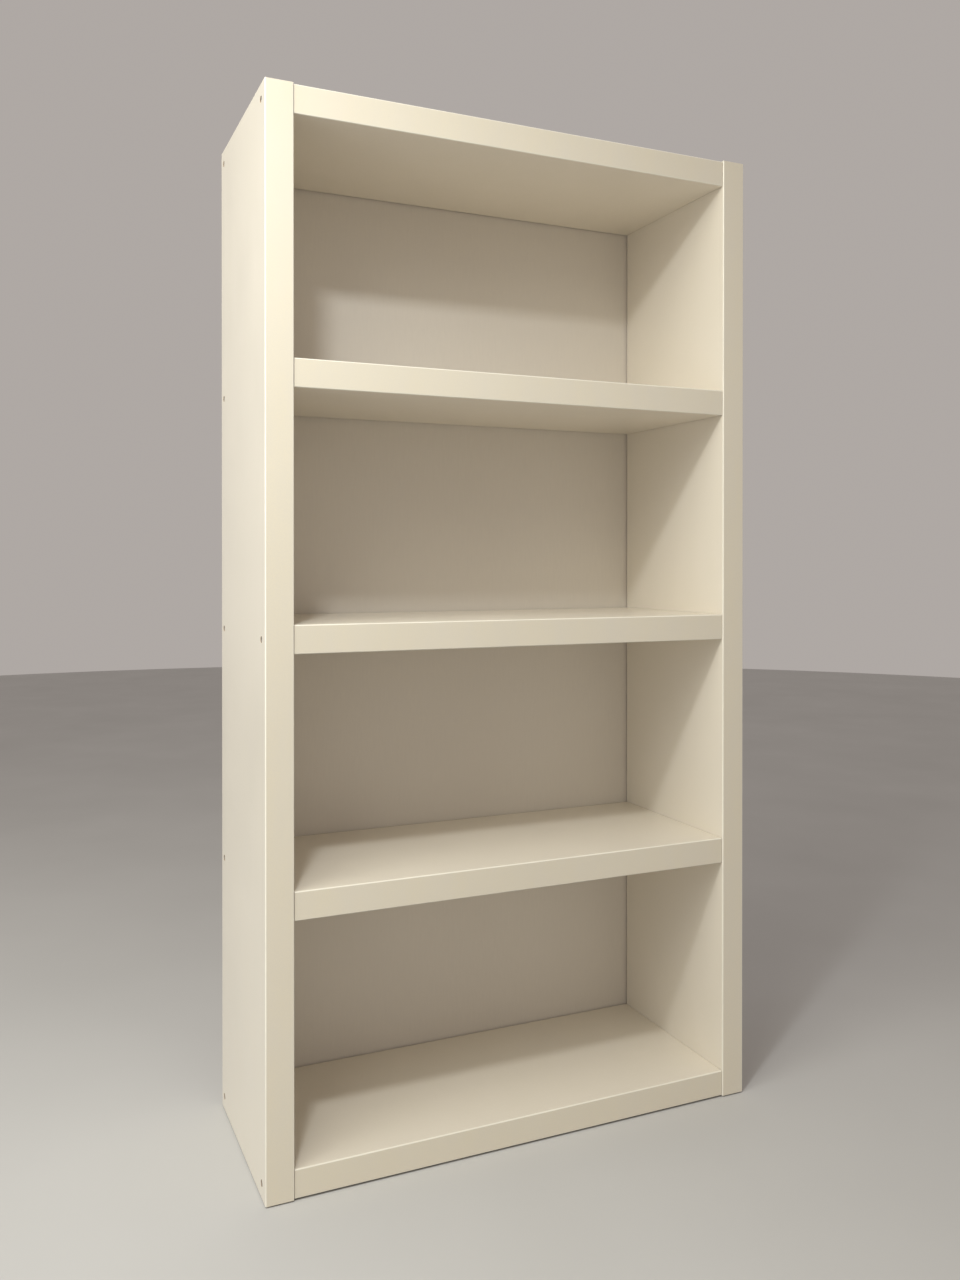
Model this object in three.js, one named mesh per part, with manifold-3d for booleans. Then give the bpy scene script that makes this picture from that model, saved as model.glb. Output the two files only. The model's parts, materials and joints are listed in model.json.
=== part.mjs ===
// An open bookcase built from thick panels: two full-height sides, a top and a bottom
// panel and a fixed middle shelf bolted between them, a thin back board held in grooves,
// and an upper and a lower shelf that slide on over hidden supports.
//
// Millimetres, +Z up. The origin is on the floor under the middle of the bookcase.
// +X is to the right of someone facing the open front, and +Y runs from front to back.

import * as THREE from 'three';
import { mergeVertices } from 'three/addons/utils/BufferGeometryUtils.js';
import Module from 'manifold-3d';

const wasm = await Module();
wasm.setup();

// ---- Driving dimensions ------------------------------------------------------------

const WIDTH = 990;               // over the outside of both sides
const DEPTH = 370;               // of the sides, front to back
const HEIGHT = 1900;             // floor to the top of the sides
const PANEL = 50;                // thickness of every thick panel

const FOOT_GAP = 2.5;            // the sides stand this far above the floor, on glides
const TOP_DROP = 1.5;            // the top panel lies this far below the sides' tops
const BASE_LIFT = 1;             // the bottom panel lies this far above the sides' ends
const FRONT_SETBACK = 2;         // panels between the sides start this far behind them

const SHELF_PITCH = 454;         // between the centres of neighbouring shelves
const MIDDLE_CENTRE = 956;       // height of the middle shelf's centre

const FIXED_GAP = 0.8;           // seam between a side and a bolted panel's end
const LOOSE_GAP = 1;             // seam between a side and a sliding shelf's end

const BOARD = 3;                 // thickness of the back board
const BOARD_INSET = 9;           // carcass's rear edge to the board's rear face
const BOARD_TONGUE = 7;          // how far the board enters each groove
const GROOVE_DEPTH = 8;
const GROOVE_REAR_PLAY = 0.3;    // behind the board
const GROOVE_FRONT_PLAY = 3;     // in front of it, seen as a dark line round the board
const SHELF_TO_BOARD = 3;        // gap between a shelf's rear edge and the board

const FRONT_FIXING = 28;         // bolt and pin axes behind the sides' front edge
const REAR_FIXING = 24;          // bolt axes in front of the sides' rear edge

const HEAD_R = 5;                // connector bolt: flat round head with a hex socket
const HEAD_H = 3.5;
const HEAD_SINK = 0.8;           // the head lies this far below the side's surface
const SOCKET_ACROSS = 4;         // across the flats
const SOCKET_DEPTH = 2.4;
const SHANK_R = 3.5;
const BOLT_GRIP = 40;            // length of shank inside a bolted panel's end
const SUPPORT_REACH = 20;        // how far a support stands out of the side's inner face
const TIP_TAPER = 1.5;           // height of the cone on each bolt, pin and dowel end

const PIN_R = 3.5;               // plain steel pin under the front of a sliding shelf
const PIN_SEAT = 20;             // its length inside the side

const DOWEL_R = 4;
const DOWEL_LENGTH = 40;

const SLOT_HEIGHT = 9;           // slot routed in a sliding shelf's end
const SLOT_DEPTH = 23;
const SLOT_TOP_PLAY = 0.3;       // above the support that carries the shelf
const SLOT_STOP_PLAY = 0.5;      // in front of the front pin

const GLIDE_R = 11;              // nail-on glide under each corner
const GLIDE_H = 2.2;
const NAIL_R = 1.2;
const NAIL_LENGTH = 12;
const GLIDE_INSET = 30;          // from the sides' front and rear edges

const PLAY = 0.4;                // radial clearance round every shank, pin and dowel
const END_PLAY = 1;              // clearance at the bottom of every blind hole
const OVERRUN = 2;               // how far a cutter runs past the surface that it opens
const FINE = 16;                 // facets round a head or glide
const COARSE = 12;               // facets round a shank, hole, pin or dowel

// ---- Places worked out from them ---------------------------------------------------

const OUTER_X = WIDTH / 2;
const INNER_X = OUTER_X - PANEL;
const FRONT_Y = -DEPTH / 2;
const REAR_Y = DEPTH / 2;

const BOARD_REAR_Y = REAR_Y - BOARD_INSET;
const BOARD_FRONT_Y = BOARD_REAR_Y - BOARD;
const GROOVE_FRONT_Y = BOARD_FRONT_Y - GROOVE_FRONT_PLAY;
const GROOVE_REAR_Y = BOARD_REAR_Y + GROOVE_REAR_PLAY;
const SHELF_FRONT_Y = FRONT_Y + FRONT_SETBACK;
const SHELF_REAR_Y = BOARD_FRONT_Y - SHELF_TO_BOARD;

const TOP_CENTRE = HEIGHT - TOP_DROP - PANEL / 2;
const BOTTOM_CENTRE = FOOT_GAP + BASE_LIFT + PANEL / 2;
const UPPER_CENTRE = MIDDLE_CENTRE + SHELF_PITCH;
const LOWER_CENTRE = MIDDLE_CENTRE - SHELF_PITCH;

const FRONT_FIXING_Y = FRONT_Y + FRONT_FIXING;
const REAR_FIXING_Y = REAR_Y - REAR_FIXING;
const DOWEL_Y = (FRONT_FIXING_Y + REAR_FIXING_Y) / 2;

const SIDES = [
  { name: 'left', sign: -1 },
  { name: 'right', sign: 1 },
];
const BOLTED = [
  { name: 'top', z: TOP_CENTRE },
  { name: 'middle', z: MIDDLE_CENTRE },
  { name: 'bottom', z: BOTTOM_CENTRE },
];
const SLIDING = [
  { name: 'upper', z: UPPER_CENTRE },
  { name: 'lower', z: LOWER_CENTRE },
];
const BOLT_ROWS = [
  { name: 'front', y: FRONT_FIXING_Y },
  { name: 'rear', y: REAR_FIXING_Y },
];
const GLIDE_ROWS = [
  { name: 'front', y: FRONT_Y + GLIDE_INSET },
  { name: 'rear', y: REAR_Y - GLIDE_INSET },
];

// ---- Materials ---------------------------------------------------------------------

function material(color, roughness, metalness = 0) {
  return new THREE.MeshStandardMaterial({ color, roughness, metalness, flatShading: true });
}

const creamFoil = () => material(0xe9dfc6, 0.42);
const backFoil = () => material(0xd6ccb6, 0.6);
const zincSteel = () => material(0x8d8d8b, 0.35, 0.9);
const beech = () => material(0xc79a63, 0.7);
const darkPlastic = () => material(0x4a443c, 0.5);

// ---- Solids: three.js geometry in, joined and cut, three.js geometry out ------------

function toSolid(geometry) {
  const bare = geometry.clone();
  bare.deleteAttribute('normal');
  bare.deleteAttribute('uv');
  const merged = mergeVertices(bare);
  const corners = Array.from(merged.index.array);
  const triangles = [];
  for (let i = 0; i < corners.length; i += 3) {
    const [a, b, c] = corners.slice(i, i + 3);
    if (a !== b && b !== c && c !== a) {
      triangles.push(a, b, c);
    }
  }
  return new wasm.Manifold(new wasm.Mesh({
    numProp: 3,
    vertProperties: new Float32Array(merged.attributes.position.array),
    triVerts: new Uint32Array(triangles),
  }));
}

function toGeometry(solid) {
  const mesh = solid.getMesh();
  const geometry = new THREE.BufferGeometry();
  geometry.setAttribute('position', new THREE.BufferAttribute(mesh.vertProperties, 3));
  geometry.setIndex(new THREE.BufferAttribute(mesh.triVerts, 1));
  geometry.computeVertexNormals();
  return geometry;
}

function block(xa, xb, ya, yb, za, zb) {
  const size = [Math.abs(xb - xa), Math.abs(yb - ya), Math.abs(zb - za)];
  const geometry = new THREE.BoxGeometry(...size);
  geometry.translate((xa + xb) / 2, (ya + yb) / 2, (za + zb) / 2);
  return toSolid(geometry);
}

function rodAlongX(radius, xa, xb, y, z, facets = COARSE) {
  const geometry = new THREE.CylinderGeometry(radius, radius, Math.abs(xb - xa), facets);
  geometry.rotateZ(Math.PI / 2);
  geometry.translate((xa + xb) / 2, y, z);
  return toSolid(geometry);
}

function rodAlongZ(radius, x, y, za, zb, facets = COARSE) {
  const geometry = new THREE.CylinderGeometry(radius, radius, zb - za, facets);
  geometry.rotateX(Math.PI / 2);
  geometry.translate(x, y, (za + zb) / 2);
  return toSolid(geometry);
}

function cut(solid, cutters) {
  return cutters.reduce((left, cutter) => left.subtract(cutter), solid);
}

function part(name, geometry, finish) {
  const mesh = new THREE.Mesh(geometry, finish());
  mesh.name = name;
  return mesh;
}

// ---- Cutters -----------------------------------------------------------------------

// A hole through a side for a bolt, with a round seat that lets the head lie sunk.
function boltHole(sign, y, z) {
  const seatFloor = OUTER_X - HEAD_SINK - HEAD_H - PLAY;
  const seat = rodAlongX(HEAD_R + PLAY, sign * seatFloor, sign * (OUTER_X + OVERRUN), y, z, FINE);
  const shaft = rodAlongX(SHANK_R + PLAY, sign * (INNER_X - OVERRUN), sign * OUTER_X, y, z);
  return seat.add(shaft);
}

// A blind hole of the given depth in a side's inner face.
function innerHole(sign, radius, depth, y, z) {
  return rodAlongX(radius + PLAY, sign * (INNER_X - OVERRUN), sign * (INNER_X + depth + END_PLAY), y, z);
}

// A blind hole of the given depth in the end of a bolted panel.
function endHole(sign, radius, depth, y, z) {
  const end = INNER_X - FIXED_GAP;
  return rodAlongX(radius + PLAY, sign * (end + OVERRUN), sign * (INNER_X - depth - END_PLAY), y, z);
}

// The slot in a sliding shelf's end: round at the front, open at the rear.
function endSlot(sign, z) {
  const slotZ = z + SHANK_R + SLOT_TOP_PLAY - SLOT_HEIGHT / 2;
  const noseY = FRONT_FIXING_Y - PIN_R - SLOT_STOP_PLAY + SLOT_HEIGHT / 2;
  const end = INNER_X - LOOSE_GAP;
  const xa = sign * (end + OVERRUN);
  const xb = sign * (end - SLOT_DEPTH);
  const run = block(xa, xb, noseY, SHELF_REAR_Y + OVERRUN, slotZ - SLOT_HEIGHT / 2, slotZ + SLOT_HEIGHT / 2);
  return run.add(rodAlongX(SLOT_HEIGHT / 2, xa, xb, noseY, slotZ, FINE));
}

// ---- Panels ------------------------------------------------------------------------

function sidePanel({ name, sign }) {
  const body = block(sign * INNER_X, sign * OUTER_X, FRONT_Y, REAR_Y, FOOT_GAP, HEIGHT);
  const grooveLow = BOTTOM_CENTRE + PANEL / 2 - GROOVE_DEPTH;
  const grooveHigh = TOP_CENTRE - PANEL / 2 + GROOVE_DEPTH;
  const cutters = [
    block(
      sign * (INNER_X - OVERRUN), sign * (INNER_X + GROOVE_DEPTH),
      GROOVE_FRONT_Y, GROOVE_REAR_Y, grooveLow, grooveHigh,
    ),
  ];
  for (const { z } of BOLTED) {
    for (const { y } of BOLT_ROWS) {
      cutters.push(boltHole(sign, y, z));
    }
    cutters.push(innerHole(sign, DOWEL_R, DOWEL_LENGTH / 2, DOWEL_Y, z));
  }
  for (const { z } of SLIDING) {
    cutters.push(boltHole(sign, REAR_FIXING_Y, z));
    cutters.push(innerHole(sign, PIN_R, PIN_SEAT, FRONT_FIXING_Y, z));
  }
  for (const { y } of GLIDE_ROWS) {
    const x = sign * (OUTER_X - PANEL / 2);
    cutters.push(rodAlongZ(NAIL_R + PLAY, x, y, 0, FOOT_GAP + NAIL_LENGTH + END_PLAY));
  }
  return part(`${name}_side_panel`, toGeometry(cut(body, cutters)), creamFoil);
}

// A panel bolted between the sides, with a bolt hole, a dowel hole and a bolt hole in
// each end.
function boltedPanel(nodeName, z, rearY, grooveCutters) {
  const end = INNER_X - FIXED_GAP;
  const body = block(-end, end, SHELF_FRONT_Y, rearY, z - PANEL / 2, z + PANEL / 2);
  const cutters = [...grooveCutters];
  for (const { sign } of SIDES) {
    for (const { y } of BOLT_ROWS) {
      cutters.push(endHole(sign, SHANK_R, BOLT_GRIP, y, z));
    }
    cutters.push(endHole(sign, DOWEL_R, DOWEL_LENGTH / 2, DOWEL_Y, z));
  }
  return part(nodeName, toGeometry(cut(body, cutters)), creamFoil);
}

function boardGroove(za, zb) {
  const past = INNER_X + OVERRUN;
  return block(-past, past, GROOVE_FRONT_Y, GROOVE_REAR_Y, za, zb);
}

function topPanel() {
  const underside = TOP_CENTRE - PANEL / 2;
  const groove = boardGroove(underside - OVERRUN, underside + GROOVE_DEPTH);
  return boltedPanel('top_panel', TOP_CENTRE, REAR_Y, [groove]);
}

function bottomPanel() {
  const upperFace = BOTTOM_CENTRE + PANEL / 2;
  const groove = boardGroove(upperFace - GROOVE_DEPTH, upperFace + OVERRUN);
  return boltedPanel('bottom_panel', BOTTOM_CENTRE, REAR_Y, [groove]);
}

function slidingShelf({ name, z }) {
  const end = INNER_X - LOOSE_GAP;
  const body = block(-end, end, SHELF_FRONT_Y, SHELF_REAR_Y, z - PANEL / 2, z + PANEL / 2);
  const slots = SIDES.map(({ sign }) => endSlot(sign, z));
  return part(`${name}_shelf`, toGeometry(cut(body, slots)), creamFoil);
}

function backBoard() {
  const halfWidth = INNER_X + BOARD_TONGUE;
  const low = BOTTOM_CENTRE + PANEL / 2 - BOARD_TONGUE;
  const high = TOP_CENTRE - PANEL / 2 + BOARD_TONGUE;
  const geometry = new THREE.BoxGeometry(2 * halfWidth, BOARD, high - low);
  const mesh = part('back_board', geometry, backFoil);
  mesh.position.set(0, (BOARD_FRONT_Y + BOARD_REAR_Y) / 2, (low + high) / 2);
  return mesh;
}

// ---- Fittings ----------------------------------------------------------------------

// A bolt standing along +Y: the head's outer face is at y = 0 and the tip points to +Y.
function boltGeometry(length) {
  const outline = [
    [0, 0],
    [HEAD_R, 0],
    [HEAD_R, HEAD_H],
    [SHANK_R, HEAD_H],
    [SHANK_R, length - TIP_TAPER],
    [SHANK_R - TIP_TAPER, length],
    [0, length],
  ].map(([r, y]) => new THREE.Vector2(r, y));
  const socket = new THREE.CylinderGeometry(
    SOCKET_ACROSS / Math.sqrt(3), SOCKET_ACROSS / Math.sqrt(3), SOCKET_DEPTH + OVERRUN, 6,
  );
  socket.translate(0, (SOCKET_DEPTH - OVERRUN) / 2, 0);
  return toGeometry(toSolid(new THREE.LatheGeometry(outline, FINE)).subtract(toSolid(socket)));
}

// A round rod centred on the origin along Y, with a short cone at each end.
function taperedRod(radius, length) {
  const outline = [
    [0, -length / 2],
    [radius - TIP_TAPER, -length / 2],
    [radius, -length / 2 + TIP_TAPER],
    [radius, length / 2 - TIP_TAPER],
    [radius - TIP_TAPER, length / 2],
    [0, length / 2],
  ].map(([r, y]) => new THREE.Vector2(r, y));
  return toGeometry(toSolid(new THREE.LatheGeometry(outline, COARSE)));
}

// Turns a fitting that stands along +Y so that it points inwards from its side.
function pointInwards(mesh, sign) {
  mesh.rotation.z = sign * Math.PI / 2;
  return mesh;
}

function connectorBolt(side, panel, row) {
  const length = PANEL - HEAD_SINK + BOLT_GRIP;
  const bolt = part(`${panel.name}_bolt_${side.name}_${row.name}`, boltGeometry(length), zincSteel);
  bolt.position.set(side.sign * (OUTER_X - HEAD_SINK), row.y, panel.z);
  return pointInwards(bolt, side.sign);
}

// The rear support of a sliding shelf: a bolt through the side with a bare end.
function supportBolt(side, shelf) {
  const length = PANEL - HEAD_SINK + SUPPORT_REACH;
  const bolt = part(`${shelf.name}_support_bolt_${side.name}`, boltGeometry(length), zincSteel);
  bolt.position.set(side.sign * (OUTER_X - HEAD_SINK), REAR_FIXING_Y, shelf.z);
  return pointInwards(bolt, side.sign);
}

// The front support of a sliding shelf: a plain pin in a blind hole.
function supportPin(side, shelf) {
  const pin = part(
    `${shelf.name}_support_pin_${side.name}`, taperedRod(PIN_R, PIN_SEAT + SUPPORT_REACH), zincSteel,
  );
  pin.position.set(side.sign * (INNER_X + (PIN_SEAT - SUPPORT_REACH) / 2), FRONT_FIXING_Y, shelf.z);
  return pointInwards(pin, side.sign);
}

function dowel(side, panel) {
  const mesh = part(`${panel.name}_dowel_${side.name}`, taperedRod(DOWEL_R, DOWEL_LENGTH), beech);
  mesh.position.set(side.sign * INNER_X, DOWEL_Y, panel.z);
  return pointInwards(mesh, side.sign);
}

// A domed-edge glide with its nail, standing on the floor.
function glide(side, row) {
  const bevel = GLIDE_H / 4;
  const outline = [
    [0, 0],
    [GLIDE_R - bevel, 0],
    [GLIDE_R, bevel],
    [GLIDE_R, GLIDE_H],
    [NAIL_R, GLIDE_H],
    [NAIL_R, FOOT_GAP + NAIL_LENGTH - NAIL_R],
    [0, FOOT_GAP + NAIL_LENGTH],
  ].map(([r, y]) => new THREE.Vector2(r, y));
  const geometry = toGeometry(toSolid(new THREE.LatheGeometry(outline, FINE)));
  const mesh = part(`glide_${side.name}_${row.name}`, geometry, darkPlastic);
  mesh.position.set(side.sign * (OUTER_X - PANEL / 2), row.y, 0);
  mesh.rotation.x = Math.PI / 2;
  return mesh;
}

// ---- Assembly ----------------------------------------------------------------------

function carcass() {
  const group = new THREE.Group();
  group.add(...SIDES.map(sidePanel));
  group.add(topPanel(), bottomPanel(), boltedPanel('middle_shelf', MIDDLE_CENTRE, SHELF_REAR_Y, []));
  group.add(backBoard());
  return group;
}

function fittings() {
  const group = new THREE.Group();
  for (const side of SIDES) {
    for (const panel of BOLTED) {
      group.add(...BOLT_ROWS.map((row) => connectorBolt(side, panel, row)));
      group.add(dowel(side, panel));
    }
    for (const shelf of SLIDING) {
      group.add(supportBolt(side, shelf), supportPin(side, shelf));
    }
    group.add(...GLIDE_ROWS.map((row) => glide(side, row)));
  }
  return group;
}

const bookcase = new THREE.Group();
bookcase.add(carcass(), fittings(), ...SLIDING.map(slidingShelf));

export default bookcase;
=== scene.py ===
"""The looks of an open bookcase with adjustable shelves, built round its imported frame.

Every thick panel is made again with rounded, foil-wrapped edges and with the holes,
slots and grooves that its fittings need. The back board, bolts, pins, dowels and glides
are made as the real ones are. Metres, in the frame's own axes: +Z is up, the open front
looks towards -Y, and +X is to the right of someone who faces it.
"""

import json
import math

import bmesh
import bpy
from mathutils import Matrix, Vector


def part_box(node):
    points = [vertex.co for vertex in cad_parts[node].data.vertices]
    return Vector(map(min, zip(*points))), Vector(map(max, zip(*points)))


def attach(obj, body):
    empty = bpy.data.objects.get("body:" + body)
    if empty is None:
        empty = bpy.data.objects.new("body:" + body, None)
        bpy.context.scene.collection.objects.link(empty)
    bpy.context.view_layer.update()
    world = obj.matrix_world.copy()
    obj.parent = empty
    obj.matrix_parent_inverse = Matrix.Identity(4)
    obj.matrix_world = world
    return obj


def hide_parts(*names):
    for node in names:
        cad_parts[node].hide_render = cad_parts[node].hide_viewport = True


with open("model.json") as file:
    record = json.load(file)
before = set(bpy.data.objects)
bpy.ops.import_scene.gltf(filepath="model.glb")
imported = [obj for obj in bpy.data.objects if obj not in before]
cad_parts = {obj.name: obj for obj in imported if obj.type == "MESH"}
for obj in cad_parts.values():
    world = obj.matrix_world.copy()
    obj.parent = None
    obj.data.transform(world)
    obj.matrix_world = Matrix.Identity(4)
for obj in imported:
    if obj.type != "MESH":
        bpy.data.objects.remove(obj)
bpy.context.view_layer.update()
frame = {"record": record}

MM = 0.001

# ---- Sizes that the frame's boxes don't give ------------------------------------------

EDGE_RADIUS = 2 * MM           # rounding of every thick panel's long edges
EDGE_STEPS = 5
END_RADIUS = 0.4 * MM          # the nearly sharp edges round a panel's sawn ends
END_STEPS = 2
LIP = 0.4 * MM                 # small chamfer round each hole, slot and groove
OVERRUN = 2 * MM               # how far a cutter runs past the surface that it opens
PLAY = 0.4 * MM                # clearance round a shank, pin or dowel
END_PLAY = 1 * MM              # clearance at the bottom of a blind hole

HEAD_RADIUS = 5 * MM           # connector and support bolts
HEAD_HEIGHT = 3.5 * MM
HEAD_EDGE = 0.6 * MM
SOCKET_ACROSS = 4 * MM
SOCKET_DEPTH = 2.4 * MM
SHANK_RADIUS = 3.5 * MM
THREAD_PITCH = 2.5 * MM
THREAD_DEPTH = 0.45 * MM
THREAD_LENGTH = 32 * MM
TIP = 1.5 * MM                 # length of the taper on each bolt, pin and dowel end

PIN_RING = 1.2 * MM            # shallow ring turned in each support pin, at mid-length
PIN_RING_DEPTH = 0.3 * MM
DOWEL_RADIUS = 4 * MM
DOWEL_FLUTES = 14
DOWEL_FLUTE_DEPTH = 0.25 * MM
NAIL_RADIUS = 1.2 * MM
GLIDE_PLAY = 0.3 * MM          # between a glide's disc and the side above it
DOME_SHARE = 0.45              # how much of the disc's thickness is domed

BOARD_EDGE = 0.3 * MM          # the back board's softened edges
GROOVE_DEPTH = 8 * MM
GROOVE_FRONT_PLAY = 3 * MM     # dark line in front of the back board
GROOVE_REAR_PLAY = 0.3 * MM
SLOT_HEIGHT = 9 * MM           # routed in a sliding shelf's ends
SLOT_DEPTH = 23 * MM
SLOT_TOP_PLAY = 0.3 * MM
SLOT_STOP_PLAY = 0.5 * MM

ROUND = 48                     # facets round a head, glide or seat
SMALL_ROUND = 36               # facets round a shank, hole or pin
FLUTE_FACETS = 6               # facets across each flute of a dowel
THREAD_ROWS = 6                # rings of points in each turn of a thread
SHARP_ANGLE = math.radians(30)
NEAR = 0.01 * MM               # two points closer than this along an axis are level
FLAT = 0.9999                  # a face whose normal reaches this along an axis is square to it
QUARTER = [math.pi / 2 * i / EDGE_STEPS for i in range(EDGE_STEPS + 1)]

AXIS_X, AXIS_Z = 0, 2
SIDES = (("left", -1), ("right", 1))
ROWS = ("front", "rear")
BOLTED = (("top", "top_panel"), ("middle", "middle_shelf"), ("bottom", "bottom_panel"))
SLIDING = (("upper", "upper_shelf"), ("lower", "lower_shelf"))

BODY_OF = {
    node: body
    for body, nodes in frame["record"]["behaviour"]["bodies"].items()
    for node in nodes
}


# ---- Camera, floor and light ----------------------------------------------------------

CAMERA_PLACE = (-0.908, -1.932, 1.090)
CAMERA_TURN = -23.16           # degrees from +Y, towards +X
CAMERA_TILT = -0.25            # degrees, slightly down
SENSOR = 36                    # millimetres along the picture's long side
LENS = 29.67
SHIFT = (0.0247, -0.0583)

FLOOR_RADIUS = 9.0
FLOOR_FACETS = 96

# Each light's name, place, the point that it faces, its size, watts and colour: a ceiling
# lamp at the front left, the pale ceiling round it, and a window at the left.
LIGHTS = (
    ("lamp", (-0.856, -1.088, 2.377), (-0.856, -1.088, 0), (0.14, 0.14), 18, (0.94, 0.98, 1.0)),
    ("ceiling", (-2.0, -1.2, 2.8), (-1.2, -0.4, 0), (2.0, 2.0), 51, (1.0, 0.99, 0.87)),
    ("left_window", (-3.0, -0.6, 1.3), (0, 0, 1.0), (2.4, 2.2), 23, (0.84, 0.93, 1.0)),
)
ROOM_COLOUR = (1.07, 0.985, 0.93)
ROOM_LIGHT = 0.40


def make_camera():
    data = bpy.data.cameras.new("camera")
    data.sensor_width = SENSOR
    data.lens = LENS
    data.shift_x, data.shift_y = SHIFT
    camera = bpy.data.objects.new("camera", data)
    camera.location = CAMERA_PLACE
    camera.rotation_euler = (math.radians(90 + CAMERA_TILT), 0, math.radians(CAMERA_TURN))
    bpy.context.scene.collection.objects.link(camera)
    bpy.context.scene.camera = camera


def make_floor(material):
    mesh = bpy.data.meshes.new("floor")
    shape = bmesh.new()
    bmesh.ops.create_circle(shape, cap_ends=True, segments=FLOOR_FACETS, radius=FLOOR_RADIUS)
    shape.to_mesh(mesh)
    shape.free()
    floor = bpy.data.objects.new("floor", mesh)
    mesh.materials.append(material)
    bpy.context.scene.collection.objects.link(floor)


def area_light(name, place, target, size, watts, colour):
    data = bpy.data.lights.new(name, "AREA")
    data.shape = "RECTANGLE"
    data.size, data.size_y = size
    data.energy = watts
    data.color = colour
    light = bpy.data.objects.new(name, data)
    light.location = place
    aim = Vector(target) - Vector(place)
    light.rotation_euler = aim.to_track_quat("-Z", "Y").to_euler()
    bpy.context.scene.collection.objects.link(light)


def make_lights():
    for light in LIGHTS:
        area_light(*light)
    world = bpy.data.worlds.new("room")
    world.use_nodes = True
    background = world.node_tree.nodes["Background"]
    background.inputs["Color"].default_value = (*ROOM_COLOUR, 1)
    background.inputs["Strength"].default_value = ROOM_LIGHT
    bpy.context.scene.world = world
    bpy.context.scene.view_settings.view_transform = "Standard"


# ---- Node helpers ---------------------------------------------------------------------


def new_material(name, roughness, metallic=0.0, colour=(0.8, 0.8, 0.8)):
    material = bpy.data.materials.new(name)
    material.use_nodes = True
    shader = material.node_tree.nodes["Principled BSDF"]
    shader.inputs["Base Color"].default_value = (*colour, 1)
    shader.inputs["Roughness"].default_value = roughness
    shader.inputs["Metallic"].default_value = metallic
    return material, material.node_tree, shader


def piece_coordinates(tree, stretch):
    """Coordinates fixed to the piece, in metres, times `stretch` along each axis."""
    place = tree.nodes.new("ShaderNodeTexCoord")
    mapping = tree.nodes.new("ShaderNodeMapping")
    mapping.inputs["Scale"].default_value = stretch
    tree.links.new(place.outputs["Object"], mapping.inputs["Vector"])
    return mapping.outputs["Vector"]


def noise(tree, per_metre, detail=2.0, stretch=(1, 1, 1)):
    """Cloudy noise from 0 to 1 with about `per_metre` lumps to the metre."""
    texture = tree.nodes.new("ShaderNodeTexNoise")
    texture.inputs["Scale"].default_value = per_metre
    texture.inputs["Detail"].default_value = detail
    tree.links.new(piece_coordinates(tree, stretch), texture.inputs["Vector"])
    return texture.outputs["Fac"]


def cells(tree, per_metre, stretch=(1, 1, 1)):
    """A random grey for each small chip or grain."""
    texture = tree.nodes.new("ShaderNodeTexVoronoi")
    texture.inputs["Scale"].default_value = per_metre
    tree.links.new(piece_coordinates(tree, stretch), texture.inputs["Vector"])
    split = tree.nodes.new("ShaderNodeSeparateColor")
    tree.links.new(texture.outputs["Color"], split.inputs["Color"])
    return split.outputs["Red"]


def attribute(tree, name):
    node = tree.nodes.new("ShaderNodeAttribute")
    node.attribute_name = name
    return node.outputs["Fac"]


def span(tree, value, from_low, from_high, to_low, to_high):
    """Maps one range on to another, held at its ends."""
    node = tree.nodes.new("ShaderNodeMapRange")
    node.inputs["From Min"].default_value = from_low
    node.inputs["From Max"].default_value = from_high
    node.inputs["To Min"].default_value = to_low
    node.inputs["To Max"].default_value = to_high
    tree.links.new(value, node.inputs["Value"])
    return node.outputs["Result"]


def mixed(tree, factor, first, second):
    """Mixes two colours, each a triple or another node's output."""
    node = tree.nodes.new("ShaderNodeMix")
    node.data_type = "RGBA"
    tree.links.new(factor, node.inputs[0])
    for socket, colour in ((node.inputs[6], first), (node.inputs[7], second)):
        if isinstance(colour, tuple):
            socket.default_value = (*colour, 1)
        else:
            tree.links.new(colour, socket)
    return node.outputs[2]


def product(tree, first, second):
    node = tree.nodes.new("ShaderNodeMath")
    node.operation = "MULTIPLY"
    tree.links.new(first, node.inputs[0])
    tree.links.new(second, node.inputs[1])
    return node.outputs["Value"]


def bumps(tree, shader, *layers):
    """Adds relief layers, each a height from 0 to 1 and its depth in metres."""
    normal = None
    for height, depth in layers:
        node = tree.nodes.new("ShaderNodeBump")
        node.inputs["Distance"].default_value = depth
        tree.links.new(height, node.inputs["Height"])
        if normal is not None:
            tree.links.new(normal, node.inputs["Normal"])
        normal = node.outputs["Normal"]
    tree.links.new(normal, shader.inputs["Normal"])


def paint(tree, shader, colour, roughness):
    tree.links.new(colour, shader.inputs["Base Color"])
    tree.links.new(roughness, shader.inputs["Roughness"])


# ---- Materials ------------------------------------------------------------------------


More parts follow.
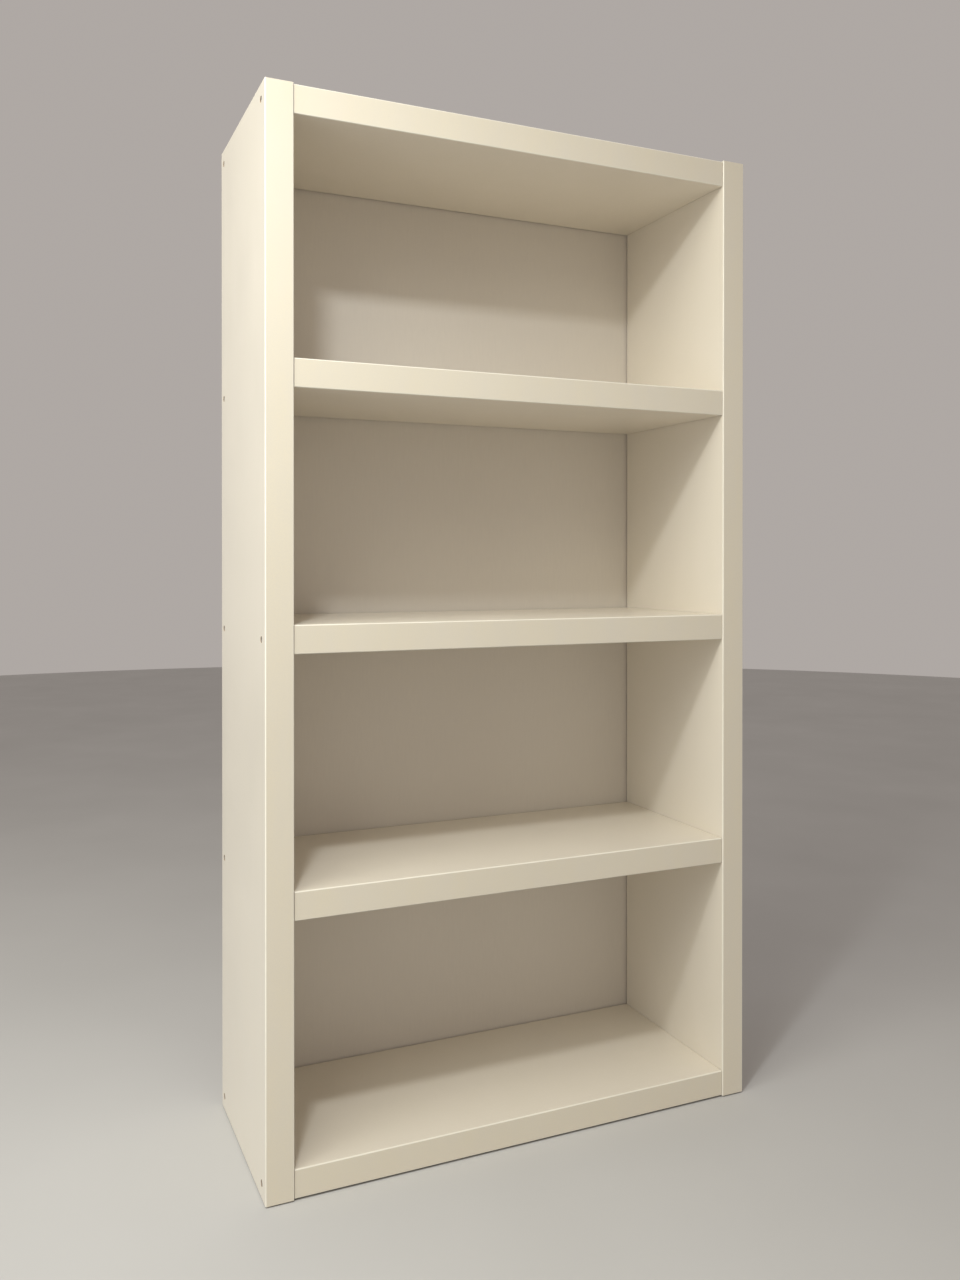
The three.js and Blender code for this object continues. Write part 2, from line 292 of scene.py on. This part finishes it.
def cream_foil():
    """Satin cream foil: a yellower tint on the front and rear faces, painted to stand for how the
    light falls on the fronts, slow drifts of tone, and paler rounded edges, partly rubbed wear and
    partly a painted highlight.
    """
    material, tree, shader = new_material("cream_foil", 0.34)
    drift = span(tree, noise(tree, 2.6, 1.0), 0.25, 0.75, 0, 1)
    face = mixed(tree, drift, (0.79, 0.727, 0.625), (0.83, 0.763, 0.657))
    # Front and rear faces get a yellower copy of the foil: a painted tint for how the light falls
    # on the fronts, not a separate edge band.
    front_rear_light_tint = mixed(tree, drift, (0.803, 0.727, 0.567), (0.833, 0.755, 0.59))
    base = mixed(tree, attribute(tree, "front_rear_light_tint"), face, front_rear_light_tint)
    cloud = span(tree, noise(tree, 24.0, 2.0, (1, 1, 0.4)), 0.2, 0.8, 0, 0.75)
    base = mixed(tree, cloud, base, (0.79, 0.73, 0.615))
    fleck = span(tree, noise(tree, 420.0, 2.0), 0.25, 0.75, 0, 0.5)
    base = mixed(tree, fleck, base, (0.765, 0.705, 0.60))
    # Paler rounded edges: painted highlight lines along every rounded edge, varied a little by
    # rubbed wear.
    rubbed_and_highlight = span(tree, noise(tree, 14.0, 2.0), 0.3, 0.7, 0.6, 1.0)
    edge = product(tree, attribute(tree, "edge"), rubbed_and_highlight)
    base = mixed(tree, edge, base, (0.93, 0.885, 0.765))
    paint(tree, shader, base, span(tree, noise(tree, 7.0, 1.0), 0.25, 0.75, 0.28, 0.38))
    bumps(
        tree, shader,
        (noise(tree, 11.0, 0.0), 0.5 * MM),
        (noise(tree, 900.0, 1.0), 0.015 * MM),
    )
    return material


def back_foil():
    """The back board's front face: matt printed paper foil, a little greyer."""
    material, tree, shader = new_material("back_foil", 0.55)
    drift = span(tree, noise(tree, 2.5, 1.0), 0.25, 0.75, 0, 1)
    base = mixed(tree, drift, (0.74, 0.685, 0.605), (0.77, 0.715, 0.63))
    fibre = span(tree, noise(tree, 220.0, 2.0, (1, 1, 0.12)), 0.25, 0.75, 0, 0.5)
    base = mixed(tree, fibre, base, (0.72, 0.666, 0.59))
    paint(tree, shader, base, span(tree, noise(tree, 12.0, 3.0), 0.3, 0.7, 0.5, 0.62))
    bumps(
        tree, shader,
        (noise(tree, 5.0, 0.0), 1.6 * MM),
        (noise(tree, 500.0, 2.0), 0.02 * MM),
    )
    return material


def hardboard():
    """The back board's bare rear face: brown pressed fibres with a smooth, dull face."""
    material, tree, shader = new_material("hardboard", 0.7)
    drift = span(tree, noise(tree, 3.0, 1.0), 0.25, 0.75, 0, 1)
    base = mixed(tree, drift, (0.25, 0.148, 0.077), (0.275, 0.164, 0.086))
    fibre = span(tree, noise(tree, 420.0, 4.0, (0.3, 1, 1)), 0.5, 0.72, 0, 1)
    base = mixed(tree, fibre, base, (0.36, 0.235, 0.13))
    paint(tree, shader, base, span(tree, noise(tree, 30.0, 3.0), 0.3, 0.7, 0.55, 0.75))
    bumps(tree, shader, (noise(tree, 600.0, 3.0, (0.4, 1, 1)), 0.08 * MM))
    return material


def chipboard():
    """Bare particle board, seen inside the holes, slots and grooves."""
    material, tree, shader = new_material("chipboard", 0.85)
    chip = span(tree, cells(tree, 620.0, (0.6, 1, 1)), 0.0, 1.0, 0, 1)
    base = mixed(tree, chip, (0.22, 0.13, 0.068), (0.45, 0.31, 0.18))
    paint(tree, shader, base, span(tree, noise(tree, 300.0), 0.3, 0.7, 0.75, 0.95))
    bumps(tree, shader, (cells(tree, 620.0, (0.6, 1, 1)), 0.25 * MM))
    return material


def zinc_steel():
    """Dull zinc plating with fine turning marks and cloudy spots."""
    material, tree, shader = new_material("zinc_steel", 0.4, 0.92)
    cloud = span(tree, noise(tree, 260.0, 3.0), 0.35, 0.65, 0, 1)
    base = mixed(tree, cloud, (0.36, 0.355, 0.34), (0.47, 0.465, 0.45))
    paint(tree, shader, base, span(tree, noise(tree, 500.0, 3.0), 0.3, 0.7, 0.32, 0.5))
    bumps(tree, shader, (noise(tree, 1500.0, 2.0, (4, 1, 1)), 0.03 * MM))
    return material


def beech():
    """Pale beech with short dark flecks along the grain, which runs along X."""
    material, tree, shader = new_material("beech", 0.65)
    grain = span(tree, noise(tree, 500.0, 3.0, (0.08, 1, 1)), 0.3, 0.7, 0, 1)
    base = mixed(tree, grain, (0.54, 0.335, 0.17), (0.66, 0.45, 0.25))
    fleck = span(tree, noise(tree, 900.0, 2.0, (0.15, 1, 1)), 0.60, 0.72, 0, 1)
    base = mixed(tree, fleck, base, (0.36, 0.205, 0.10))
    paint(tree, shader, base, span(tree, noise(tree, 200.0), 0.3, 0.7, 0.55, 0.75))
    bumps(tree, shader, (noise(tree, 900.0, 2.0, (0.15, 1, 1)), 0.08 * MM))
    return material


def dark_plastic():
    """Moulded brown plastic with a fine spark-eroded grain."""
    material, tree, shader = new_material("dark_plastic", 0.5)
    tone = span(tree, noise(tree, 150.0, 2.0), 0.3, 0.7, 0, 1)
    base = mixed(tree, tone, (0.030, 0.026, 0.021), (0.048, 0.042, 0.034))
    paint(tree, shader, base, span(tree, noise(tree, 800.0), 0.3, 0.7, 0.42, 0.6))
    bumps(tree, shader, (noise(tree, 2500.0, 2.0), 0.04 * MM))
    return material


def floor_finish():
    """A plain pale floor with a very soft sheen."""
    material, tree, shader = new_material("floor_finish", 0.6)
    drift = span(tree, noise(tree, 1.5, 2.0), 0.3, 0.7, 0, 1)
    base = mixed(tree, drift, (0.53, 0.52, 0.505), (0.56, 0.55, 0.535))
    shader.inputs["Specular IOR Level"].default_value = 0.25
    paint(tree, shader, base, span(tree, noise(tree, 4.0), 0.3, 0.7, 0.6, 0.75))
    return material


# ---- Mesh helpers ---------------------------------------------------------------------


def add_rings(shape, rings, material_index=0):
    """Joins closed rings of points, each to the next, and closes both ends.

    A ring of one point is a pole; every other ring has the same number of points.
    """
    made = [[shape.verts.new(point) for point in ring] for ring in rings]
    faces = []
    for lower, upper in zip(made, made[1:]):
        steps = max(len(lower), len(upper))
        for i in range(steps):
            j = (i + 1) % steps
            if len(lower) == 1:
                corners = (lower[0], upper[i], upper[j])
            elif len(upper) == 1:
                corners = (lower[j], lower[i], upper[0])
            else:
                corners = (lower[j], lower[i], upper[i], upper[j])
            faces.append(shape.faces.new(corners))
    for end in (made[0], made[-1]):
        if len(end) > 2:
            faces.append(shape.faces.new(end))
    for face in faces:
        face.material_index = material_index
    bmesh.ops.recalc_face_normals(shape, faces=faces)


def circle(radius, along, steps):
    turns = [2 * math.pi * i / steps for i in range(steps)]
    return [Vector((radius * math.cos(t), radius * math.sin(t), along)) for t in turns]


def shaped(radius_at, along, steps):
    """A ring whose radius is a function of the angle."""
    turns = [2 * math.pi * i / steps for i in range(steps)]
    return [Vector((radius_at(t) * math.cos(t), radius_at(t) * math.sin(t), along)) for t in turns]


def pole(along):
    return [Vector((0, 0, along))]


def moved(rings, place):
    return [[place @ point for point in ring] for ring in rings]


def pointing(direction, place):
    """A matrix that lays +Z along `direction` and carries the origin to `place`."""
    turn = Vector(direction).to_track_quat("Z", "Y").to_matrix().to_4x4()
    return Matrix.Translation(place) @ turn


def drill(shape, place, radius, depth):
    """Adds a cutter for a blind hole with a chamfered mouth and a drill-point bottom."""
    rings = [
        pole(-OVERRUN),
        circle(radius + LIP + OVERRUN, -OVERRUN, SMALL_ROUND),
        circle(radius, LIP, SMALL_ROUND),
        circle(radius, depth - radius / 3, SMALL_ROUND),
        pole(depth),
    ]
    add_rings(shape, moved(rings, place), 1)


def drill_through(shape, place, thickness, seat_depth):
    """Adds a cutter for a bolt hole through a side, with a seat for the sunk head."""
    seat = HEAD_RADIUS + PLAY
    shaft = SHANK_RADIUS + PLAY
    rings = [
        pole(-OVERRUN),
        circle(seat + LIP + OVERRUN, -OVERRUN, ROUND),
        circle(seat, LIP, ROUND),
        circle(seat, seat_depth, ROUND),
        circle(shaft, seat_depth, ROUND),
        circle(shaft, thickness - LIP, ROUND),
        circle(shaft + LIP + OVERRUN, thickness + OVERRUN, ROUND),
        pole(thickness + OVERRUN),
    ]
    add_rings(shape, moved(rings, place), 1)


def groove(shape, across, start, end, place):
    """Adds a cutter for a straight groove with chamfered lips.

    `across` is the half width, and the groove runs along the place's X from `start` to
    `end`, with its mouth at z = 0 and its floor at z = GROOVE_DEPTH.
    """
    wide = across + LIP + OVERRUN
    outline = [
        (-wide, -OVERRUN),
        (wide, -OVERRUN),
        (across, LIP),
        (across, GROOVE_DEPTH),
        (-across, GROOVE_DEPTH),
        (-across, LIP),
    ]
    rings = [[Vector((x, y, z)) for y, z in outline] for x in (start, end)]
    add_rings(shape, moved(rings, place), 1)


def block(low, high):
    shape = bmesh.new()
    place = Matrix.Translation((low + high) / 2) @ Matrix.Diagonal((*(high - low), 1))
    bmesh.ops.create_cube(shape, size=1, matrix=place)
    return shape


def round_off(shape, edges, radius, steps):
    bmesh.ops.bevel(
        shape, geom=edges, offset=radius, offset_type="OFFSET",
        segments=steps, profile=0.5, affect="EDGES",
    )


def wrapped_panel(low, high, axis):
    """A panel whose foil wraps round its edges along `axis`, with sawn ends across it."""
    shape = block(low, high)
    along = [e for e in shape.edges if abs(e.verts[0].co[axis] - e.verts[1].co[axis]) > NEAR]
    round_off(shape, along, EDGE_RADIUS, EDGE_STEPS)
    for end in (low[axis], high[axis]):
        rim = [e for e in shape.edges if all(abs(v.co[axis] - end) < NEAR for v in e.verts)]
        round_off(shape, rim, END_RADIUS, END_STEPS)
    return shape


def as_object(name, shape, materials):
    mesh = bpy.data.meshes.new(name)
    shape.to_mesh(mesh)
    shape.free()
    for material in materials:
        mesh.materials.append(material)
    made = bpy.data.objects.new(name, mesh)
    bpy.context.scene.collection.objects.link(made)
    return made


def settle(piece):
    """Replaces a piece's mesh by what its modifiers make of it."""
    graph = bpy.context.evaluated_depsgraph_get()
    mesh = bpy.data.meshes.new_from_object(piece.evaluated_get(graph))
    piece.modifiers.clear()
    piece.data = mesh


def cut_away(piece, cutter_shape):
    """Cuts the cutters out of the piece; the cut faces keep material 1, bare board."""
    cutter = as_object("cutter", cutter_shape, piece.data.materials)
    cut = piece.modifiers.new("cut", "BOOLEAN")
    cut.operation = "DIFFERENCE"
    cut.solver = "EXACT"
    cut.object = cutter
    settle(piece)
    bpy.data.objects.remove(cutter)


def smooth(piece):
    """Shades the rounded parts smooth and keeps flat faces and sharp corners as they are."""
    mesh = piece.data
    mesh.shade_smooth()
    mesh.set_sharp_from_angle(angle=SHARP_ANGLE)
    weigh = piece.modifiers.new("weigh", "WEIGHTED_NORMAL")
    weigh.keep_sharp = True
    settle(piece)


def mark_foil(piece, axis):
    """Writes `edge`, 1 on the rounded long edges, which carry the painted highlight, and a mask
    that is 1 on the front and rear faces, which carry the painted light tint.
    """
    mesh = piece.data
    edge = mesh.attributes.new("edge", "FLOAT", "FACE")
    front_rear_light_tint = mesh.attributes.new("front_rear_light_tint", "FLOAT", "FACE")
    for face in mesh.polygons:
        wrapped = not face.material_index and abs(face.normal[axis]) < 1 - FLAT
        straight = max(abs(part) for part in face.normal) > FLAT
        # The rounded long edges take the painted highlight.
        edge.data[face.index].value = float(wrapped and not straight)
        # Faces square to Y take the painted light tint.
        front_rear_light_tint.data[face.index].value = float(abs(face.normal.y) > FLAT)


def place_piece(piece, node):
    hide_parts(node)
    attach(piece, BODY_OF[node])


# ---- Places taken from the frame ------------------------------------------------------


def centre(node):
    low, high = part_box(node)
    return (low + high) / 2


def inward_x(node, sign):
    """The X of a piece's end that points into the bookcase."""
    low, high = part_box(node)
    return high.x if sign < 0 else low.x


def outward_x(node, sign):
    """The X of a piece's end that points out of the bookcase."""
    low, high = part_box(node)
    return low.x if sign < 0 else high.x


def level_with(node, x):
    """The point at `x` on a fitting's own axis, which runs along X."""
    middle = centre(node)
    return Vector((x, middle.y, middle.z))


def board_groove_place():
    """The Y of the grooves' middle, and half their width."""
    low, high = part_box("back_board")
    front = low.y - GROOVE_FRONT_PLAY
    rear = high.y + GROOVE_REAR_PLAY
    return (front + rear) / 2, (rear - front) / 2


# ---- Panels ---------------------------------------------------------------------------


def finish_panel(node, materials, cutters, axis):
    shape = wrapped_panel(*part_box(node), axis)
    piece = as_object(f"{node}_finished", shape, materials)
    cut_away(piece, cutters)
    mark_foil(piece, axis)
    smooth(piece)
    place_piece(piece, node)


def make_side(name, sign, materials):
    node = f"{name}_side_panel"
    low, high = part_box(node)
    thickness = high.x - low.x
    inner = inward_x(node, sign)
    outer = outward_x(node, sign)
    cutters = bmesh.new()
    bolts = [f"{panel}_bolt_{name}_{row}" for panel, _ in BOLTED for row in ROWS]
    bolts += [f"{shelf}_support_bolt_{name}" for shelf, _ in SLIDING]
    for bolt in bolts:
        sunk = abs(outer - outward_x(bolt, sign))
        place = pointing((-sign, 0, 0), level_with(bolt, outer))
        drill_through(cutters, place, thickness, sunk + HEAD_HEIGHT + PLAY)
    pegs = [(f"{panel}_dowel_{name}", DOWEL_RADIUS) for panel, _ in BOLTED]
    pegs += [(f"{shelf}_support_pin_{name}", SHANK_RADIUS) for shelf, _ in SLIDING]
    for peg, radius in pegs:
        depth = abs(outward_x(peg, sign) - inner) + END_PLAY
        drill(cutters, pointing((sign, 0, 0), level_with(peg, inner)), radius + PLAY, depth)
    for row in ROWS:
        glide = f"glide_{name}_{row}"
        middle = centre(glide)
        mouth = Vector((middle.x, middle.y, low.z))
        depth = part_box(glide)[1].z - low.z + END_PLAY
        drill(cutters, pointing((0, 0, 1), mouth), NAIL_RADIUS + PLAY, depth)
    board_low, board_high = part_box("back_board")
    spare = GROOVE_DEPTH - (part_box("bottom_panel")[1].z - board_low.z)
    middle_y, half = board_groove_place()
    along_z = Matrix((
        (0, 0, sign, inner),
        (0, 1, 0, middle_y),
        (1, 0, 0, 0),
        (0, 0, 0, 1),
    ))
    groove(cutters, half, board_low.z - spare, board_high.z + spare, along_z)
    finish_panel(node, materials, cutters, AXIS_Z)


def drill_ends(cutters, prefix, node):
    """The bolt and dowel holes in both ends of a bolted panel."""
    for name, sign in SIDES:
        end = outward_x(node, sign)
        pegs = [(f"{prefix}_bolt_{name}_{row}", SHANK_RADIUS) for row in ROWS]
        pegs.append((f"{prefix}_dowel_{name}", DOWEL_RADIUS))
        for peg, radius in pegs:
            depth = abs(end - inward_x(peg, sign)) + END_PLAY
            drill(cutters, pointing((-sign, 0, 0), level_with(peg, end)), radius + PLAY, depth)


def make_bolted_panel(prefix, node, materials):
    """A panel bolted at both ends; the top and the bottom one are grooved for the back board."""
    low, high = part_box(node)
    cutters = bmesh.new()
    drill_ends(cutters, prefix, node)
    mouths = {"top": (1, low.z), "bottom": (-1, high.z)}
    if prefix in mouths:
        up, z = mouths[prefix]
        middle_y, half = board_groove_place()
        past = high.x + OVERRUN
        along_x = Matrix(((1, 0, 0, 0), (0, 1, 0, middle_y), (0, 0, up, z), (0, 0, 0, 1)))
        groove(cutters, half, -past, past, along_x)
    finish_panel(node, materials, cutters, AXIS_X)


def slot_outline(x, nose_y, rear_y, middle_z, grow):
    """The slot's outline at one depth: round at the front, open at the rear."""
    radius = SLOT_HEIGHT / 2 + grow
    steps = SMALL_ROUND // 2
    points = []
    for i in range(steps + 1):
        turn = math.pi / 2 + math.pi * i / steps
        y = nose_y + radius * math.cos(turn)
        z = middle_z + radius * math.sin(turn)
        points.append(Vector((x, y, z)))
    points.append(Vector((x, rear_y, middle_z - radius)))
    points.append(Vector((x, rear_y, middle_z + radius)))
    return points


def make_sliding_shelf(prefix, node, materials):
    """A shelf with a slot in each end, which slides on to its pins and rear bolts."""
    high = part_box(node)[1]
    cutters = bmesh.new()
    for name, sign in SIDES:
        end = outward_x(node, sign)
        pin_low, pin_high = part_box(f"{prefix}_support_pin_{name}")
        middle_z = pin_high.z + SLOT_TOP_PLAY - SLOT_HEIGHT / 2
        nose_y = pin_low.y - SLOT_STOP_PLAY + SLOT_HEIGHT / 2
        rear_y = high.y + OVERRUN
        rings = [
            slot_outline(end + sign * OVERRUN, nose_y, rear_y, middle_z, LIP + OVERRUN),
            slot_outline(end - sign * LIP, nose_y, rear_y, middle_z, 0),
            slot_outline(end - sign * SLOT_DEPTH, nose_y, rear_y, middle_z, 0),
        ]
        add_rings(cutters, rings, 1)
    finish_panel(node, materials, cutters, AXIS_X)


def make_back_board(front_finish, rear_finish):
    low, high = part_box("back_board")
    shape = block(low, high)
    round_off(shape, list(shape.edges), BOARD_EDGE, END_STEPS)
    for face in shape.faces:
        face.material_index = 0 if face.normal.y < -0.5 else 1
    piece = as_object("back_board_finished", shape, (front_finish, rear_finish))
    smooth(piece)
    place_piece(piece, "back_board")


# ---- Fittings -------------------------------------------------------------------------


def place_fitting(node, rings, place, material):
    shape = bmesh.new()
    add_rings(shape, moved(rings, place))
    piece = as_object(f"{node}_finished", shape, (material,))
    smooth(piece)
    place_piece(piece, node)


def from_outside(node, sign):
    """Carries rings into place along a fitting's axis, from its outer end inwards."""
    return pointing((-sign, 0, 0), level_with(node, outward_x(node, sign)))


def length_across(node):
    low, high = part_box(node)
    return high.x - low.x


def rounded_end(radius, depth):
    """Radius and depth pairs that round a cylinder's end over `depth`, from its face on."""
    return [(radius - depth * (1 - math.sin(t)), depth * (1 - math.cos(t))) for t in QUARTER]


def hexagon(across):
    """The radius of a hexagon, `across` its flats, as a function of the angle."""
    sixth = math.pi / 3

    def radius_at(turn):
        return across / 2 / math.cos((turn % sixth) - sixth / 2)

    return radius_at


def bolt_head():
    """The head's rings, from the socket's floor out over the rim and down to the shank."""
    socket = hexagon(SOCKET_ACROSS)
    corner = SOCKET_ACROSS / math.sqrt(3)
    rings = [
        pole(SOCKET_DEPTH + SOCKET_ACROSS / 6),
        shaped(socket, SOCKET_DEPTH, ROUND),
        shaped(socket, LIP, ROUND),
        circle(corner + LIP / 2, 0, ROUND),
    ]
    rings += [circle(radius, along, ROUND) for radius, along in rounded_end(HEAD_RADIUS, HEAD_EDGE)]
    rings.append(circle(HEAD_RADIUS, HEAD_HEIGHT - LIP / 2, ROUND))
    rings.append(circle(HEAD_RADIUS - LIP / 2, HEAD_HEIGHT, ROUND))
    rings.append(circle(SHANK_RADIUS, HEAD_HEIGHT, ROUND))
    return rings


def thread_radius(along):
    """The radius of a screw thread at a height along it, as a function of the angle."""

    def radius_at(turn):
        phase = (along / THREAD_PITCH - turn / (2 * math.pi)) % 1
        return SHANK_RADIUS - THREAD_DEPTH * abs(2 * phase - 1)

    return radius_at


def make_bolt(node, sign, threaded, material):
    length = length_across(node)
    rings = bolt_head()
    if threaded:
        start = length - THREAD_LENGTH
        rows = round(THREAD_ROWS * (THREAD_LENGTH - TIP) / THREAD_PITCH)
        rings.append(circle(SHANK_RADIUS, start - THREAD_DEPTH, ROUND))
        for i in range(rows + 1):
            along = start + (THREAD_LENGTH - TIP) * i / rows
            rings.append(shaped(thread_radius(along), along, ROUND))
    else:
        rings.append(circle(SHANK_RADIUS, length - TIP, ROUND))
    rings.append(circle(SHANK_RADIUS - TIP, length, ROUND))
    rings.append(pole(length))
    place_fitting(node, rings, from_outside(node, sign), material)


def make_pin(node, sign, material):
    """A plain pin with rounded ends and a shallow ring where it leaves the side."""
    length = length_across(node)
    middle = length / 2
    profile = rounded_end(SHANK_RADIUS, TIP)
    profile.append((SHANK_RADIUS, middle - PIN_RING))
    profile.append((SHANK_RADIUS - PIN_RING_DEPTH, middle - PIN_RING / 2))
    profile.append((SHANK_RADIUS, middle))
    for radius, along in reversed(rounded_end(SHANK_RADIUS, TIP)):
        profile.append((radius, length - along))
    rings = [pole(0)]
    rings += [circle(radius, along, SMALL_ROUND) for radius, along in profile]
    rings.append(pole(length))
    place_fitting(node, rings, from_outside(node, sign), material)


def make_dowel(node, sign, material):
    """A fluted dowel with tapered ends."""
    length = length_across(node)
    steps = DOWEL_FLUTES * FLUTE_FACETS

    def fluted(turn):
        return DOWEL_RADIUS - DOWEL_FLUTE_DEPTH * (1 + math.cos(DOWEL_FLUTES * turn)) / 2

    rings = [
        pole(0),
        circle(DOWEL_RADIUS - TIP, 0, steps),
        shaped(fluted, TIP, steps),
        shaped(fluted, length - TIP, steps),
        circle(DOWEL_RADIUS - TIP, length, steps),
        pole(length),
    ]
    place_fitting(node, rings, from_outside(node, sign), material)


def make_glide(node, material):
    """A nail-on glide: a disc with a domed underside and the nail moulded into it."""
    low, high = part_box(node)
    disc_radius = (high.x - low.x) / 2
    height = high.z - low.z
    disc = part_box("left_side_panel")[0].z - low.z - GLIDE_PLAY
    profile = rounded_end(disc_radius, disc * DOME_SHARE)
    profile.append((disc_radius, disc - LIP / 2))
    profile.append((disc_radius - LIP / 2, disc))
    profile.append((NAIL_RADIUS, disc))
    profile.append((NAIL_RADIUS, height - NAIL_RADIUS * 2))
    rings = [pole(0)]
    rings += [circle(radius, along, ROUND) for radius, along in profile]
    rings.append(pole(height))
    middle = centre(node)
    place = Matrix.Translation((middle.x, middle.y, low.z))
    place_fitting(node, rings, place, material)


# ---- Assembly -------------------------------------------------------------------------


def make_panels():
    materials = (cream_foil(), chipboard())
    for name, sign in SIDES:
        make_side(name, sign, materials)
    for prefix, node in BOLTED:
        make_bolted_panel(prefix, node, materials)
    for prefix, node in SLIDING:
        make_sliding_shelf(prefix, node, materials)
    make_back_board(back_foil(), hardboard())


def make_fittings():
    steel, wood, plastic = zinc_steel(), beech(), dark_plastic()
    for name, sign in SIDES:
        for prefix, _ in BOLTED:
            for row in ROWS:
                make_bolt(f"{prefix}_bolt_{name}_{row}", sign, True, steel)
            make_dowel(f"{prefix}_dowel_{name}", sign, wood)
        for prefix, _ in SLIDING:
            make_bolt(f"{prefix}_support_bolt_{name}", sign, False, steel)
            make_pin(f"{prefix}_support_pin_{name}", sign, steel)
        for row in ROWS:
            make_glide(f"glide_{name}_{row}", plastic)


make_camera()
make_floor(floor_finish())
make_lights()
make_panels()
make_fittings()
